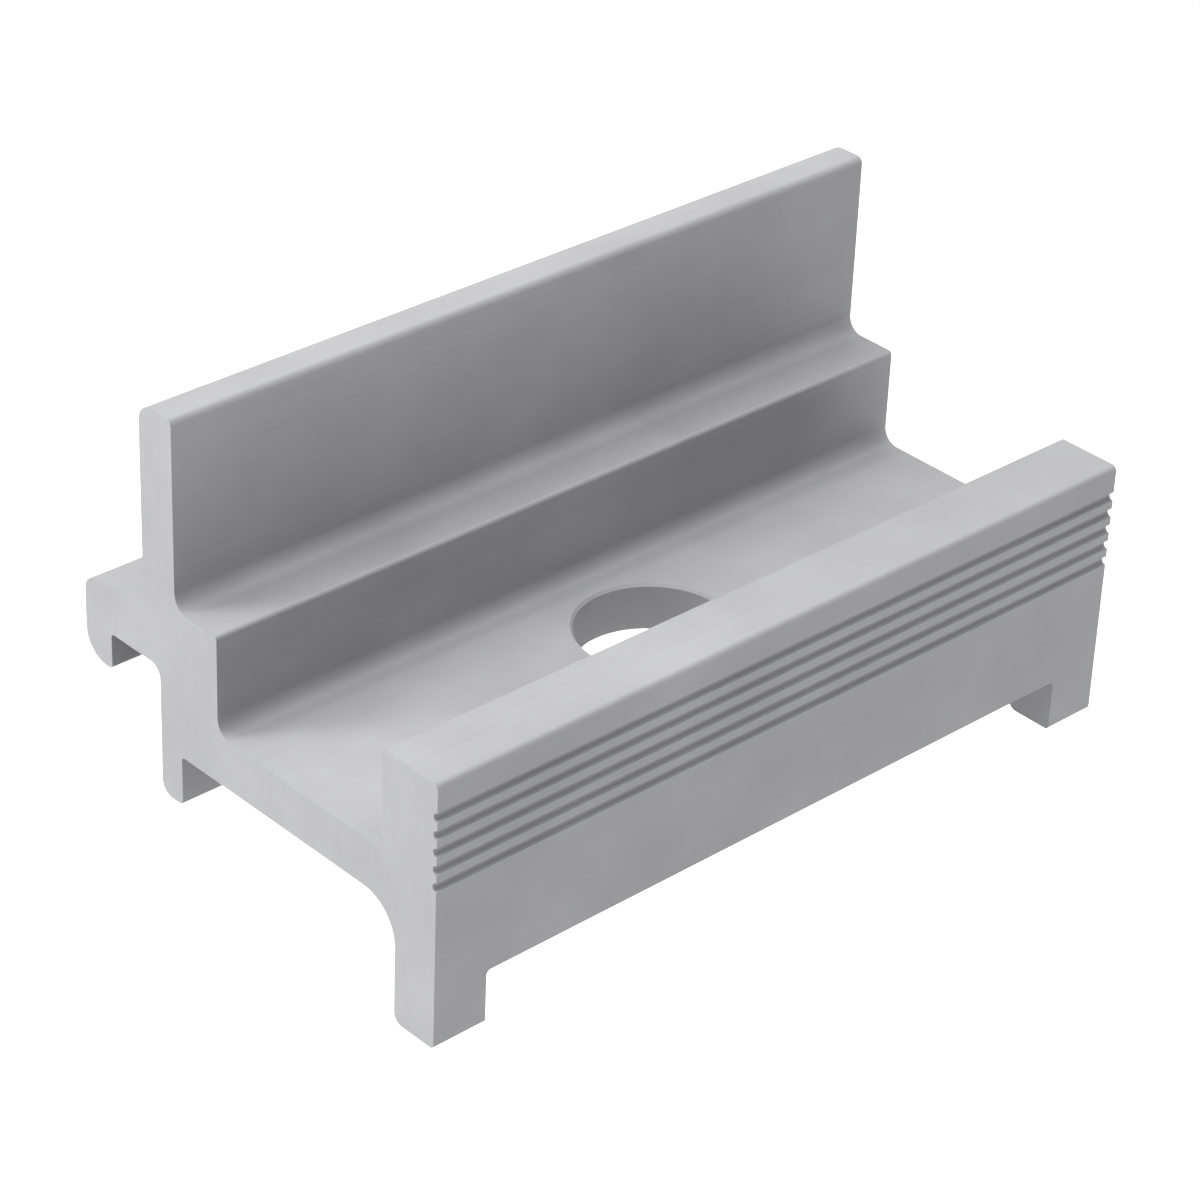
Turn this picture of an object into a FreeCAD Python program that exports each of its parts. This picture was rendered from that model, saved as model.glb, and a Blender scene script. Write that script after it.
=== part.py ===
import FreeCAD, Part
import os
import Sketcher

# Rail clamp for solar mounting: one length of aluminium extrusion with a bolt hole and a notched leg
# The origin is the bolt axis at the channel floor, +X runs along the extrusion and the front faces -Y

# Driving sizes in millimetres, one row of the sheet each
SIZES = [
    ("length", 50.0, "extrusion, cut to length"),
    ("bolt", 8.0, "the bolt that the clamp is made for"),
    ("bolt_clearance", 1.0, "hole larger than the bolt"),
    ("head_flats", 13.0, "its hexagon head, flat to flat"),
    ("head_clearance", 0.3, "channel wider than the head, which it holds against turning"),
    ("channel_depth", 6.0, "floor up to the seat, sinks the head"),
    ("web_thickness", 3.0, "plate under the bolt head"),
    ("front_wall", 4.2, "wall in front of the channel"),
    ("front_leg", 3.1, "same wall below the web"),
    ("leg_drop", 7.2, "web underside down to the feet"),
    ("foot_length", 3.5, "leg left standing at each end"),
    ("foot_height", 3.3, "feet below the notch edge"),
    ("ledge_width", 3.5, "seat between channel and fin"),
    ("fin_thickness", 2.7, "upright stop"),
    ("fin_height", 11.2, "fin above the seat"),
    ("rear_wall", 4.9, "channel side to the back face"),
    ("rear_lip", 1.75, "thin lip below the web"),
    ("lip_drop", 3.1, "web underside down to the lip's end"),
    ("hook_gap", 4.25, "back face to the hook"),
    ("hook_lip", 2.25, "hook's thickness"),
    ("hook_drop", 2.25, "arm underside down to the hook's end"),
    ("arm_underside", 4.2, "seat down to the arm's underside"),
    ("arm_root", 0.5, "seat down to the arm's top, at the fin"),
    ("arm_tip", 1.6, "seat down to the arm's top, at the hook"),
    ("hole_break", 0.15, "broken edge of the bolt hole"),
    ("groove_count", 5, "fine grooves along the front face"),
    ("groove_pitch", 1.05, "groove to groove"),
    ("groove_radius", 0.27, "half round groove"),
    ("groove_first", 1.95, "seat down to the first groove"),
    ("leg_fillet", 2.5, "web to front leg"),
    ("fin_fillet", 2.0, "fin to arm"),
    ("channel_fillet", 1.0, "channel floor corners"),
    ("arm_fillet", 0.8, "arm to back face"),
    ("seat_fillet", 1.0, "ledge to fin"),
    ("hook_round", 1.7, "hook's outer end"),
    ("fin_back_round", 1.1, "fin top at the back"),
    ("tip_round", 1.0, "arm tip"),
    ("lip_round", 0.8, "rear lip's outer end"),
    ("foot_round", 0.6, "feet, inside"),
    ("fin_round", 0.4, "fin top at the front"),
    ("wall_round", 0.35, "front wall's top edge"),
    ("edge_round", 0.25, "all other lengthwise edges"),
    ("notch_round", 0.3, "milled corners of the notch"),
]

# What fits the bolt takes its width from it
FITTED = [
    ("bolt_hole", "=bolt + bolt_clearance"),
    ("channel_width", "=head_flats + head_clearance"),
]

doc = FreeCAD.newDocument("rail_clamp")
sheet = doc.addObject("Spreadsheet::Sheet", "sizes")
for row, (alias, value, note) in enumerate(SIZES, start=1):
    sheet.set("A%d" % row, alias)
    sheet.set("B%d" % row, str(value))
    sheet.set("C%d" % row, note)
    sheet.setAlias("B%d" % row, alias)
for row, (alias, formula) in enumerate(FITTED, start=len(SIZES) + 1):
    sheet.set("A%d" % row, alias)
    sheet.set("B%d" % row, formula)
    sheet.setAlias("B%d" % row, alias)
doc.recompute()
size = {line[0]: float(getattr(sheet, line[0])) for line in SIZES + FITTED}
same = 1e-4

# Levels of the section, up from the channel floor
seat = size["channel_depth"]
fin_top = seat + size["fin_height"]
arm_under = seat - size["arm_underside"]
hook_end = arm_under - size["hook_drop"]
web_under = -size["web_thickness"]
lip_end = web_under - size["lip_drop"]
foot_end = web_under - size["leg_drop"]

# Faces of the section, back from the bolt axis
channel_side = size["channel_width"] / 2
front = -channel_side - size["front_wall"]
leg_inside = front + size["front_leg"]
fin_front = channel_side + size["ledge_width"]
fin_back = fin_front + size["fin_thickness"]
back = channel_side + size["rear_wall"]
lip_inside = back - size["rear_lip"]
hook_inside = back + size["hook_gap"]
tip = hook_inside + size["hook_lip"]

# Sharp corners of the section in order, front foot first
corners = {
    "foot_front": (front, foot_end),
    "wall_front": (front, seat),
    "wall_inside": (-channel_side, seat),
    "floor_front": (-channel_side, 0),
    "floor_back": (channel_side, 0),
    "ledge_edge": (channel_side, seat),
    "fin_foot": (fin_front, seat),
    "fin_top_front": (fin_front, fin_top),
    "fin_top_back": (fin_back, fin_top),
    "arm_root": (fin_back, seat - size["arm_root"]),
    "arm_tip": (tip, seat - size["arm_tip"]),
    "hook_outside": (tip, hook_end),
    "hook_end_inside": (hook_inside, hook_end),
    "hook_inside": (hook_inside, arm_under),
    "arm_back": (back, arm_under),
    "lip_outside": (back, lip_end),
    "lip_end_inside": (lip_inside, lip_end),
    "lip_inside": (lip_inside, web_under),
    "leg_inside": (leg_inside, web_under),
    "foot_inside": (leg_inside, foot_end),
}
order = list(corners)


def plane(body, role):
    """The body's own origin plane with that role."""
    return [item for item in body.Origin.OriginFeatures if item.Role == role][0]


def sketch_on(body, role, name):
    """An empty sketch on one of the body's origin planes."""
    sketch = body.newObject("Sketcher::SketchObject", name)
    sketch.AttachmentSupport = [(plane(body, role), "")]
    sketch.MapMode = "FlatFace"
    return sketch


def bind(sketch, name, kind, where, value, expression):
    """Adds a named constraint on the geometry in where, its value bound to the expression."""
    index = sketch.addConstraint(Sketcher.Constraint(kind, *where, value))
    sketch.renameConstraint(index, name)
    sketch.setExpression("Constraints." + name, expression)


def cut_made(before, feature):
    """Stops if a cutting feature took nothing away."""
    if feature.Shape.Volume > before - same:
        raise RuntimeError(feature.Label + " cuts nothing")


def long_edges(shape, names):
    """Edges along X at the section corners with these names, one for each."""
    found = []
    for name in names:
        y, z = corners[name]
        for number, edge in enumerate(shape.Edges, start=1):
            ends = [vertex.Point for vertex in edge.Vertexes]
            at_corner = all(abs(p.y - y) < same and abs(p.z - z) < same for p in ends)
            if at_corner and edge.Length > same:
                found.append("Edge%d" % number)
    if len(found) != len(names):
        raise RuntimeError("not one edge at each corner: " + ", ".join(names))
    return found


clamp = doc.addObject("PartDesign::Body", "clamp_profile")
clamp.Label = "clamp_profile"

# Section sketch: one line from each corner to the next
section = sketch_on(clamp, "YZ_Plane", "section")
points = [FreeCAD.Vector(y, z, 0) for y, z in corners.values()]
for index, point in enumerate(points):
    section.addGeometry(Part.LineSegment(point, points[(index + 1) % len(points)]), False)
for index, name in enumerate(order):
    following = (index + 1) % len(order)
    section.addConstraint(Sketcher.Constraint("Coincident", index, 2, following, 1))
    here, there = corners[name], corners[order[following]]
    if here[0] == there[0]:
        section.addConstraint(Sketcher.Constraint("Vertical", index))
    elif here[1] == there[1]:
        section.addConstraint(Sketcher.Constraint("Horizontal", index))


def across(alias, first, second):
    """Front to back distance between two corners of the section."""
    ends = (order.index(first), 1, order.index(second), 1)
    bind(section, alias, "DistanceX", ends, size[alias], "sizes." + alias)


def upward(alias, lower, upper):
    """Height between two corners of the section."""
    ends = (order.index(lower), 1, order.index(upper), 1)
    bind(section, alias, "DistanceY", ends, size[alias], "sizes." + alias)


# The channel floor lies on the origin's level with the bolt axis in its middle
floor_front, floor_back = order.index("floor_front"), order.index("floor_back")
section.addConstraint(Sketcher.Constraint("Symmetric", floor_front, 1, floor_back, 1, -1, 1))
ledge, wall = order.index("ledge_edge"), order.index("wall_inside")
section.addConstraint(Sketcher.Constraint("Horizontal", wall, 1, ledge, 1))
across("channel_width", "floor_front", "floor_back")
across("front_wall", "wall_front", "wall_inside")
across("front_leg", "foot_front", "foot_inside")
across("ledge_width", "ledge_edge", "fin_foot")
across("fin_thickness", "fin_top_front", "fin_top_back")
across("rear_wall", "floor_back", "arm_back")
across("rear_lip", "lip_end_inside", "lip_outside")
across("hook_gap", "arm_back", "hook_inside")
across("hook_lip", "hook_end_inside", "hook_outside")
upward("channel_depth", "floor_back", "ledge_edge")
upward("fin_height", "fin_foot", "fin_top_front")
upward("web_thickness", "leg_inside", "floor_front")
upward("leg_drop", "foot_inside", "leg_inside")
upward("lip_drop", "lip_end_inside", "lip_inside")
upward("hook_drop", "hook_end_inside", "hook_inside")
upward("arm_underside", "hook_inside", "fin_foot")
upward("arm_root", "arm_root", "fin_foot")
upward("arm_tip", "arm_tip", "fin_foot")

extrusion = clamp.newObject("PartDesign::Pad", "extrusion")
extrusion.Profile = section
extrusion.Midplane = True
extrusion.setExpression("Length", "sizes.length")
doc.recompute()


def round_edges(name, alias, corner_names):
    """Rounds the lengthwise edges at these corners of the section."""
    base = clamp.Tip
    rounding = clamp.newObject("PartDesign::Fillet", name)
    rounding.Base = (base, long_edges(base.Shape, corner_names))
    rounding.setExpression("Radius", "sizes." + alias)
    doc.recompute()
    clamp.Tip = rounding


round_edges("web_to_leg", "leg_fillet", ["leg_inside"])
round_edges("fin_to_arm", "fin_fillet", ["arm_root"])
round_edges("channel_corners", "channel_fillet", ["floor_front", "floor_back"])
round_edges("arm_to_back", "arm_fillet", ["arm_back"])
round_edges("ledge_to_fin", "seat_fillet", ["fin_foot"])
round_edges("hook_end", "hook_round", ["hook_outside"])
round_edges("fin_top_behind", "fin_back_round", ["fin_top_back"])
round_edges("arm_tip_edge", "tip_round", ["arm_tip"])
round_edges("lip_end", "lip_round", ["lip_outside"])
round_edges("feet_inside", "foot_round", ["foot_inside"])
round_edges("fin_top_edge", "fin_round", ["fin_top_front"])
round_edges("wall_top_edge", "wall_round", ["wall_front"])
round_edges("small_edges", "edge_round",
            ["wall_inside", "ledge_edge", "hook_end_inside", "hook_inside", "lip_end_inside",
             "lip_inside", "foot_front"])

# Fine grooves along the front face, half a circle deep, the first one below the rounded top
groove_sketch = sketch_on(clamp, "YZ_Plane", "groove_section")
groove_centre = FreeCAD.Vector(front, seat - size["groove_first"], 0)
upright = FreeCAD.Vector(0, 0, 1)
groove_sketch.addGeometry(Part.Circle(groove_centre, upright, size["groove_radius"]), False)
bind(groove_sketch, "radius", "Radius", (0,), size["groove_radius"], "sizes.groove_radius")
bind(groove_sketch, "face", "DistanceX", (0, 3, -1, 1), -front,
     "sizes.channel_width / 2 + sizes.front_wall")
bind(groove_sketch, "level", "DistanceY", (-1, 1, 0, 3), seat - size["groove_first"],
     "sizes.channel_depth - sizes.groove_first")
before = clamp.Tip.Shape.Volume
groove = clamp.newObject("PartDesign::Pocket", "groove")
groove.Profile = groove_sketch
groove.Midplane = True
groove.setExpression("Length", "sizes.length * 2")
doc.recompute()
cut_made(before, groove)

grooves = clamp.newObject("PartDesign::LinearPattern", "grooves")
grooves.Originals = [groove]
grooves.Direction = (groove_sketch, ["V_Axis"])
grooves.Reversed = True
grooves.setExpression("Length", "sizes.groove_pitch * (sizes.groove_count - 1)")
grooves.setExpression("Occurrences", "sizes.groove_count")
clamp.Tip = grooves
doc.recompute()
cut_made(groove.Shape.Volume, grooves)

# Notch in the front leg: what it leaves at each end is a foot
notch_sketch = sketch_on(clamp, "XZ_Plane", "notch_outline")
notch_side = size["length"] / 2 - size["foot_length"]
notch_top = foot_end + size["foot_height"]
notch_low = foot_end - size["foot_height"]
box = [(-notch_side, notch_low), (-notch_side, notch_top), (notch_side, notch_top), (notch_side, notch_low)]
for index, (x, z) in enumerate(box):
    x_next, z_next = box[(index + 1) % len(box)]
    line = Part.LineSegment(FreeCAD.Vector(x, z, 0), FreeCAD.Vector(x_next, z_next, 0))
    notch_sketch.addGeometry(line, False)
for index in range(len(box)):
    notch_sketch.addConstraint(Sketcher.Constraint("Coincident", index, 2, (index + 1) % len(box), 1))
notch_sketch.addConstraint(Sketcher.Constraint("Vertical", 0))
notch_sketch.addConstraint(Sketcher.Constraint("Vertical", 2))
notch_sketch.addConstraint(Sketcher.Constraint("Horizontal", 3))
notch_sketch.addConstraint(Sketcher.Constraint("Symmetric", 1, 1, 1, 2, -2))
bind(notch_sketch, "width", "DistanceX", (1, 1, 1, 2), 2 * notch_side,
     "sizes.length - 2 * sizes.foot_length")
bind(notch_sketch, "edge", "DistanceY", (1, 1, -1, 1), -notch_top,
     "sizes.web_thickness + sizes.leg_drop - sizes.foot_height")
bind(notch_sketch, "clear", "DistanceY", (0, 1, 0, 2), notch_top - notch_low,
     "2 * sizes.foot_height")
notch = clamp.newObject("PartDesign::Pocket", "notch")
notch.Profile = notch_sketch
notch.Reversed = True
notch.setExpression("Length", "sizes.channel_width / 2 + 2 * sizes.front_wall")
doc.recompute()
cut_made(grooves.Shape.Volume, notch)


def notch_corners(shape):
    """Edges through the leg at the notch's two inner corners."""
    found = []
    for number, edge in enumerate(shape.Edges, start=1):
        ends = [vertex.Point for vertex in edge.Vertexes]
        at_corner = all(abs(abs(p.x) - notch_side) < same and abs(p.z - notch_top) < same for p in ends)
        if at_corner and abs(ends[0].x - ends[-1].x) < same:
            found.append("Edge%d" % number)
    if len(found) != 2:
        raise RuntimeError("the notch has not two corners")
    return found


milled = clamp.newObject("PartDesign::Fillet", "milled_corners")
milled.Base = (notch, notch_corners(notch.Shape))
milled.setExpression("Radius", "sizes.notch_round")
doc.recompute()

# Bolt hole down through the web from the channel floor, both rims broken
hole_sketch = sketch_on(clamp, "XY_Plane", "hole_centre")
hole_sketch.addGeometry(Part.Circle(FreeCAD.Vector(0, 0, 0), upright, size["bolt_hole"] / 2), False)
hole_sketch.addConstraint(Sketcher.Constraint("Coincident", 0, 3, -1, 1))
bind(hole_sketch, "bore", "Diameter", (0,), size["bolt_hole"], "sizes.bolt_hole")
doc.recompute()
hole = clamp.newObject("PartDesign::Hole", "bolt_hole")
hole.Profile = hole_sketch
hole.DepthType = "Dimension"
hole.DrillPoint = "Flat"
hole.setExpression("Diameter", "sizes.bolt_hole")
hole.setExpression("Depth", "sizes.web_thickness * 2")
doc.recompute()
cut_made(milled.Shape.Volume, hole)


def hole_rims(shape):
    """The bolt hole's two rims."""
    found = []
    for number, edge in enumerate(shape.Edges, start=1):
        curve = edge.Curve
        if isinstance(curve, Part.Circle) and abs(curve.Radius - size["bolt_hole"] / 2) < same:
            if abs(curve.Center.x) + abs(curve.Center.y) < same:
                found.append("Edge%d" % number)
    if len(found) != 2:
        raise RuntimeError("the bolt hole has not two rims")
    return found


rims = clamp.newObject("PartDesign::Chamfer", "hole_rims")
rims.Base = (hole, hole_rims(hole.Shape))
rims.setExpression("Size", "sizes.hole_break")
clamp.Tip = rims
doc.recompute()

# Nothing is written unless every object has built
for item in doc.Objects:
    if "Invalid" in item.State or "Error" in item.State:
        raise RuntimeError(item.Label + " did not build")
shape = clamp.Shape
if shape.isNull() or not shape.isValid() or len(shape.Solids) != 1:
    raise RuntimeError("the clamp is not one sound solid")

os.makedirs("parts", exist_ok=True)
shape.exportStep(os.path.join("parts", clamp.Label + ".step"))
reach = shape.BoundBox
print("%s %.2f x %.2f x %.2f mm" % (clamp.Label, reach.XLength, reach.YLength, reach.ZLength))
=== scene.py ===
import math

import bpy
from mathutils import Matrix, Vector

# Rail clamp over a pale floor. Lengths are metres, +X runs along the extrusion, -Y is the grooved front
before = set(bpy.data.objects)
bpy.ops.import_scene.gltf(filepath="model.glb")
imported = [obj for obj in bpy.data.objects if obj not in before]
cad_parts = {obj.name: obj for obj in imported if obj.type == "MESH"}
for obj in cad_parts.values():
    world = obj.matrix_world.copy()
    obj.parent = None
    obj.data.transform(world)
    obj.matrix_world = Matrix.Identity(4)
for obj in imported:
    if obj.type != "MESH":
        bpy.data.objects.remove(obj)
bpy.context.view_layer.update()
scene = bpy.context.scene
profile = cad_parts["clamp_profile"]

# a Mix node's two inputs and its result, by the kind of value it mixes
mixSockets = {"FLOAT": (2, 3, 0), "RGBA": (6, 7, 2)}
patternRoughness = 0.55  # how strong the finer layers of each pattern are


# helpers for the node materials
def newMaterial(name):
    made = bpy.data.materials.new(name)
    made.use_nodes = True
    return made, made.node_tree.nodes, made.node_tree.links


def newMix(nodes, kind):
    made = nodes.new("ShaderNodeMix")
    made.data_type = kind
    first, second, result = mixSockets[kind]
    return made.inputs["Factor"], made.inputs[first], made.inputs[second], made.outputs[result]


def pattern(nodes, links, place, scale, detail):
    made = nodes.new("ShaderNodeTexNoise")
    made.inputs["Scale"].default_value = scale
    made.inputs["Detail"].default_value = detail
    made.inputs["Roughness"].default_value = patternRoughness
    links.new(place, made.inputs["Vector"])
    return made.outputs["Fac"]


def stretch(nodes, links, source, band, low, high):
    # brings the values of a band to low..high
    made = nodes.new("ShaderNodeMapRange")
    limits = (("From Min", band[0]), ("From Max", band[1]), ("To Min", low), ("To Max", high))
    for socket, value in limits:
        made.inputs[socket].default_value = value
    links.new(source, made.inputs["Value"])
    return made.outputs["Result"]


def blend(nodes, links, first, second, share):
    # share is what the second one gives
    factor, firstIn, secondIn, result = newMix(nodes, "FLOAT")
    factor.default_value = share
    links.new(first, firstIn)
    links.new(second, secondIn)
    return result


def tint(nodes, links, tone, colour, spread):
    # the colour, drifting from a little darker to a little lighter with the tone
    factor, darker, lighter, result = newMix(nodes, "RGBA")
    darker.default_value = tuple(c * (1 - spread) for c in colour) + (1.0,)
    lighter.default_value = tuple(c * (1 + spread) for c in colour) + (1.0,)
    links.new(tone, factor)
    return result


# satin aluminium: fine lines and an etched grain make its surface, a wide drift joins them in its colour
metal = {
    "colour": (0.353, 0.353, 0.362),     # a little cool
    "spread": 0.07,
    "metallic": 0.3,
    "roughness": 0.685,
    "roughnessSpread": 0.04,
    "dieLine": (18.0, 5200.0, 5200.0),   # drawn out along X
    "sawLine": (2400.0, 2400.0, 260.0),  # drawn out upright
    "lineDetail": 4.0,
    "grain": 9000.0,
    "grainDetail": 3.0,
    "grainShare": 0.45,
    "drift": 160.0,
    "driftDetail": 2.0,
    "driftShare": 0.5,
    "toneBand": (0.35, 0.65),            # where most of the mixed pattern's values lie
    "surfaceBand": (0.3, 0.7),
    "relief": 0.00003,
    "reliefStrength": 0.14,
    "endFacing": 0.9,                    # a face that looks this much along X is a sawn end
}


def finishMetal(name, lineScale):
    made, nodes, links = newMaterial(name)
    shader = nodes["Principled BSDF"]
    shader.inputs["Metallic"].default_value = metal["metallic"]
    coords = nodes.new("ShaderNodeTexCoord").outputs["Object"]
    place = nodes.new("ShaderNodeMapping")
    place.inputs["Scale"].default_value = lineScale
    links.new(coords, place.inputs["Vector"])
    lines = pattern(nodes, links, place.outputs["Vector"], 1.0, metal["lineDetail"])
    grain = pattern(nodes, links, coords, metal["grain"], metal["grainDetail"])
    drift = pattern(nodes, links, coords, metal["drift"], metal["driftDetail"])
    surface = blend(nodes, links, lines, grain, metal["grainShare"])

    mixed = blend(nodes, links, surface, drift, metal["driftShare"])
    tone = stretch(nodes, links, mixed, metal["toneBand"], 0.0, 1.0)
    links.new(tint(nodes, links, tone, metal["colour"], metal["spread"]), shader.inputs["Base Color"])

    smoother = metal["roughness"] - metal["roughnessSpread"]
    rougher = metal["roughness"] + metal["roughnessSpread"]
    roughness = stretch(nodes, links, surface, metal["surfaceBand"], smoother, rougher)
    links.new(roughness, shader.inputs["Roughness"])

    bump = nodes.new("ShaderNodeBump")
    bump.inputs["Strength"].default_value = metal["reliefStrength"]
    bump.inputs["Distance"].default_value = metal["relief"]
    links.new(surface, bump.inputs["Height"])
    links.new(bump.outputs["Normal"], shader.inputs["Normal"])
    return made


# the sawn ends have their own marks, all other faces the die's
profile.data.materials.clear()
profile.data.materials.append(finishMetal("extrudedAluminium", metal["dieLine"]))
profile.data.materials.append(finishMetal("sawnAluminium", metal["sawLine"]))
for face in profile.data.polygons:
    face.material_index = 1 if abs(face.normal.x) > metal["endFacing"] else 0
print("aluminium done")


# floor far below the clamp, so that no shadow of it lies in the picture
floor = {
    "level": -0.45,
    "reach": 4.0,
    "colour": (0.75, 0.75, 0.75),
    "spread": 0.01,
    "speck": 40.0,
    "speckDetail": 2.0,
    "roughness": 0.8,
}


def layFloor():
    reach, level = floor["reach"], floor["level"]
    front = [(-reach, -reach, level), (reach, -reach, level)]
    behind = [(reach, reach, level), (-reach, reach, level)]
    sheet = bpy.data.meshes.new("floor")
    sheet.from_pydata(front + behind, [], [(0, 1, 2, 3)])
    made = bpy.data.objects.new("floor", sheet)
    scene.collection.objects.link(made)

    paint, nodes, links = newMaterial("floorPaint")
    shader = nodes["Principled BSDF"]
    shader.inputs["Roughness"].default_value = floor["roughness"]
    coords = nodes.new("ShaderNodeTexCoord").outputs["Object"]
    speck = pattern(nodes, links, coords, floor["speck"], floor["speckDetail"])
    links.new(tint(nodes, links, speck, floor["colour"], floor["spread"]), shader.inputs["Base Color"])
    sheet.materials.append(paint)


layFloor()
print("floor done")


# soft square panels that shine on the clamp. "from" is the way from the clamp to the panel
softLight = {
    "leftPanel": {"from": (-1.0, 0.7, 0.35), "away": 1.2, "side": 0.35, "watts": 14.8},   # sawn end
    "topPanel": {"from": (0.0, 0.0, 1.0), "away": 1.0, "side": 1.0, "watts": 13.2},
    "backPanel": {"from": (-0.5, 0.4, 1.0), "away": 1.2, "side": 0.6, "watts": 4.7},
    "frontPanel": {"from": (0.3, -1.0, -0.2), "away": 0.9, "side": 0.5, "watts": 2.4},    # grooved front
}
# hangs below the clamp's level and faces down, for the floor behind the clamp
floorPanel = {"place": (0.57, 0.62, -0.02), "side": 0.5, "watts": 3.7}
room = {"colour": (1.0, 1.0, 1.0, 1.0), "strength": 0.3}


def hangPanel(name, facts, place, behind):
    # the panel shines away from what lies behind it
    lamp = bpy.data.lights.new(name, "AREA")
    lamp.shape = "SQUARE"
    lamp.size = facts["side"]
    lamp.energy = facts["watts"]
    made = bpy.data.objects.new(name, lamp)
    made.location = place
    made.rotation_mode = "QUATERNION"
    made.rotation_quaternion = behind.to_track_quat("Z", "Y")
    scene.collection.objects.link(made)


def lightRoom():
    made = bpy.data.worlds.new("paleRoom")
    made.use_nodes = True
    background = made.node_tree.nodes["Background"]
    background.inputs["Color"].default_value = room["colour"]
    background.inputs["Strength"].default_value = room["strength"]
    scene.world = made


for panelName, facts in softLight.items():
    outward = Vector(facts["from"]).normalized()
    hangPanel(panelName, facts, outward * facts["away"], outward)
hangPanel("floorPanel", floorPanel, floorPanel["place"], Vector((0.0, 0.0, 1.0)))
lightRoom()
scene.view_settings.view_transform = "Standard"
print("light done")


# camera where the photograph's camera stood, with its angles in degrees and its lens in millimetres
viewpoint = {
    "azimuth": -43.777,
    "elevation": 31.465,
    "roll": 2.417,
    "place": (-0.13164, -0.13298, 0.11608),
    "lens": 120.6,
    "sensor": 36.0,
    "nearest": 0.01,
    "farthest": 10.0,
}


def placeCamera():
    azimuth, elevation, roll = (math.radians(viewpoint[key]) for key in ("azimuth", "elevation", "roll"))
    level = math.cos(elevation)
    back = Vector((math.sin(azimuth) * level, -math.cos(azimuth) * level, math.sin(elevation)))
    right = Vector((math.cos(azimuth), math.sin(azimuth), 0.0))
    up = back.cross(right)
    rolledRight = right * math.cos(roll) + up * math.sin(roll)
    rolledUp = up * math.cos(roll) - right * math.sin(roll)

    lens = bpy.data.cameras.new("camera")
    lens.lens = viewpoint["lens"]
    lens.sensor_width = viewpoint["sensor"]
    lens.clip_start = viewpoint["nearest"]
    lens.clip_end = viewpoint["farthest"]
    made = bpy.data.objects.new("camera", lens)
    turn = Matrix((rolledRight, rolledUp, back)).transposed()
    made.matrix_world = Matrix.Translation(viewpoint["place"]) @ turn.to_4x4()
    scene.collection.objects.link(made)
    scene.camera = made


placeCamera()
print("camera done")
